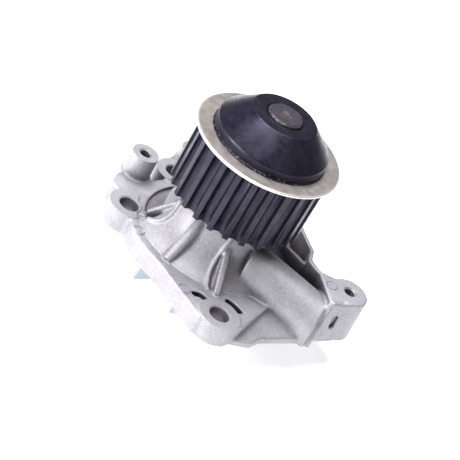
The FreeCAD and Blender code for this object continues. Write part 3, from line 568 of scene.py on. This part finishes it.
def tooth_outline(arc_steps=14, land_steps=6):
    """The pulley's outline seen from above: round grooves, lands between them, rounded tips."""
    outer = TEETH * PITCH / (2 * pi) - PITCH_LINE
    groove_centre = outer - GROOVE_DEPTH + GROOVE_RADIUS
    # azimuth, from the groove's middle, where the groove meets the outer circle
    meeting = acos((groove_centre ** 2 + outer ** 2 - GROOVE_RADIUS ** 2)
                   / (2 * groove_centre * outer))
    opening = atan2(outer * sin(meeting), outer * cos(meeting) - groove_centre)
    one = []
    for step in range(arc_steps + 1):
        turn = 2 * pi - opening - (2 * pi - 2 * opening) * step / arc_steps
        one.append((groove_centre + GROOVE_RADIUS * cos(turn), GROOVE_RADIUS * sin(turn)))
    land = 2 * (pi / TEETH - meeting)
    for step in range(1, land_steps):
        azimuth = meeting + land * step / land_steps
        one.append((outer * cos(azimuth), outer * sin(azimuth)))
    outline = []
    for tooth in range(TEETH):
        turn = radians(GROOVE_PHASE) + 2 * pi * tooth / TEETH
        outline += [(x * cos(turn) - y * sin(turn), x * sin(turn) + y * cos(turn)) for x, y in one]
    tips = {index: TIP_RADIUS for index in range(len(outline)) if index % len(one) in (0, arc_steps)}
    return rounded(outline, tips, steps=3, closed=True)


def make_pulley(material):
    """The toothed pulley: round grooves with soft tips, a deep cup and a turned, coned hub."""
    edge = 0.35
    outline = tooth_outline()
    azimuths = [atan2(y, x) for x, y in outline]

    def circle(radius, height):
        return [on_circle(radius, height, turn) for turn in azimuths]

    def teeth(inset, height):
        return [(x * (1 - inset / hypot(x, y)), y * (1 - inset / hypot(x, y)), height)
                for x, y in outline]

    hub = rounded([
        (SPIGOT_RADIUS, TEETH_TOP), (SPIGOT_RADIUS, 65.02), (26.68, 65.02), (26.72, 65.3),
        (26.3, 65.75), (25.95, 65.95), (SPIGOT_RADIUS, 66.3), (SPIGOT_RADIUS, 69.3), (25.85, 70.1),
        (15.03, 80.3), (9.0, 80.3), (8.6, 79.7), (SHAFT_RADIUS + 0.05, 79.3)],
        {3: 0.3, 4: 0.3, 6: 0.3, 7: 0.5, 8: 0.8, 9: 0.7, 10: 0.4}, steps=3)
    cup = rounded([
        (SHAFT_RADIUS + 0.02, 62), (12.6, 62), (12.6, 73.5), (20, 69.5), (22.4, 63.8),
        (CUP_RADIUS, 59.8), (CUP_RADIUS, TEETH_BOTTOM + 0.5), (CUP_RADIUS + 0.5, TEETH_BOTTOM)],
        {1: 0.5, 2: 2, 3: 2, 4: 2, 5: 1.5}, steps=3)
    rings = [circle(*point) for point in cup]
    rings += [teeth(edge, TEETH_BOTTOM), teeth(edge * 0.3, TEETH_BOTTOM + edge * 0.3),
              teeth(0, TEETH_BOTTOM + edge), teeth(0, TEETH_TOP - edge), teeth(edge, TEETH_TOP)]
    rings += [circle(*point) for point in hub]
    points = [point for ring in rings for point in ring]
    obj = new_object("toothed_pulley", points, rings_to_faces(len(rings), len(outline)), material)
    finish_piece(obj, "rotor", "timing_pulley", angle=42)


def make_guide_disc(material):
    """The belt guide disc with a rolled rim."""
    low, high = TEETH_TOP, DISC_TOP
    profile = rounded([
        (SPIGOT_RADIUS + 0.03, low), (DISC_RADIUS - 1.1, low + 0.12), (DISC_RADIUS, low),
        (DISC_RADIUS, high - 0.05), (DISC_RADIUS - 1.2, high), (SPIGOT_RADIUS + 0.03, high)],
        {1: 0.5, 2: 0.42, 3: 0.5, 4: 0.4}, steps=5)
    obj = turned("guide_disc", profile, material, steps=256)
    finish_piece(obj, "rotor", "belt_guide_disc", angle=35)


def dress(materials):
    """Give the CAD nodes that stay visible their materials."""
    for node, material in materials.items():
        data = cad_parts[node].data
        data.materials.clear()
        data.materials.append(material)


def shorten_with_seat(node):
    """Give a CAD node a copy of its mesh, so that it has a mesh of its own."""
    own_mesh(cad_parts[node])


# ---------------------------------------------------------------- studio
def make_stage():
    """The pale floor under the object."""
    floor = Finish("pale_floor", (0.93, 0.93, 0.93), 0, 0.8)
    floor.shader.inputs["Emission Color"].default_value = (1, 1, 1, 1)
    floor.shader.inputs["Emission Strength"].default_value = FLOOR_GLOW
    reach, low = 6000, cad_box[0][2] / MM - 0.1
    corners = [(-reach, -reach, low), (reach, -reach, low), (reach, reach, low), (-reach, reach, low)]
    new_object("studio_floor", corners, [(0, 1, 2, 3)], floor.material)


def make_light(name, place, size, power):
    """A square area light that points at the object."""
    light = bpy.data.lights.new(name, "AREA")
    light.size = size
    light.energy = power
    obj = bpy.data.objects.new(name, light)
    obj.location = place
    obj.rotation_euler = (Vector(LIT_POINT) - Vector(place)).to_track_quat("-Z", "Y").to_euler()
    bpy.context.scene.collection.objects.link(obj)


def make_camera():
    """The camera at the photograph's angle: it looks down by 33 degrees and is rolled by 31."""
    camera = bpy.data.cameras.new("camera")
    camera.lens = CAMERA_LENS
    camera.sensor_width = 36
    obj = bpy.data.objects.new("camera", camera)
    obj.matrix_world = (Matrix.Translation(CAMERA_PLACE)
                        @ Matrix.Rotation(radians(CAMERA_TILT), 4, "X")
                        @ Matrix.Rotation(radians(CAMERA_ROLL), 4, "Z"))
    bpy.context.scene.collection.objects.link(obj)
    bpy.context.scene.camera = obj


def make_world():
    """A pale, even surround."""
    world = bpy.data.worlds.new("studio")
    world.use_nodes = True
    background = world.node_tree.nodes["Background"]
    background.inputs["Color"].default_value = (0.95, 0.96, 1, 1)
    background.inputs["Strength"].default_value = WORLD_STRENGTH
    bpy.context.scene.world = world


make_casting(cast_aluminium(), machined_aluminium())
make_pulley(black_oxide())
make_guide_disc(bright_plate())
race_steel = plain_metal("race_steel", (0.4, 0.39, 0.38), (0.52, 0.51, 0.5), 0.28)
rubber = plain_solid("black_rubber", (0.012, 0.012, 0.013), (0.025, 0.025, 0.026), 0.55)
nylon = plain_solid("nylon_cage", (0.10, 0.08, 0.055), (0.16, 0.13, 0.09), 0.45)
ball_steel = plain_metal("bearing_steel", (0.55, 0.55, 0.57), (0.68, 0.68, 0.7), 0.16)
spring_steel = plain_metal("spring_steel", (0.42, 0.42, 0.43), (0.55, 0.55, 0.56), 0.3)
dress({
    "drive_shaft": shaft_steel(),
    "bearing_outer_race": race_steel, "impeller_hub": race_steel,
    "bearing_balls": ball_steel, "bearing_rollers": ball_steel,
    "ball_cage": nylon, "roller_cage": nylon,
    "front_bearing_seal": rubber, "rear_bearing_seal": rubber,
    "seal_bellows": rubber, "mating_ring_boot": rubber,
    "water_slinger": plain_metal("slinger_plate", (0.5, 0.47, 0.44), (0.6, 0.57, 0.54), 0.32),
    "seal_cartridge_cup": plain_metal("drawn_brass", (0.55, 0.4, 0.17), (0.7, 0.52, 0.25), 0.3),
    "seal_carbon_ring": plain_solid("carbon_graphite", (0.035, 0.035, 0.04), (0.06, 0.06, 0.065), 0.35),
    "seal_spring_seat": spring_steel, "seal_spring": spring_steel,
    "seal_mating_ring": plain_solid("alumina", (0.74, 0.72, 0.66), (0.86, 0.84, 0.79), 0.22),
    "impeller": plain_metal("pressed_steel", (0.5, 0.55, 0.6), (0.62, 0.68, 0.73), 0.38, 0.9),
})
shorten_with_seat("seal_spring")
shorten_with_seat("seal_bellows")

make_stage()
make_world()
make_light("key", place=(-0.8, -0.66, 0.2), size=0.5, power=13)
make_light("top", place=(-0.2, 0.1, 1.1), size=0.8, power=25)
make_camera()
bpy.context.scene.view_settings.view_transform = "Standard"
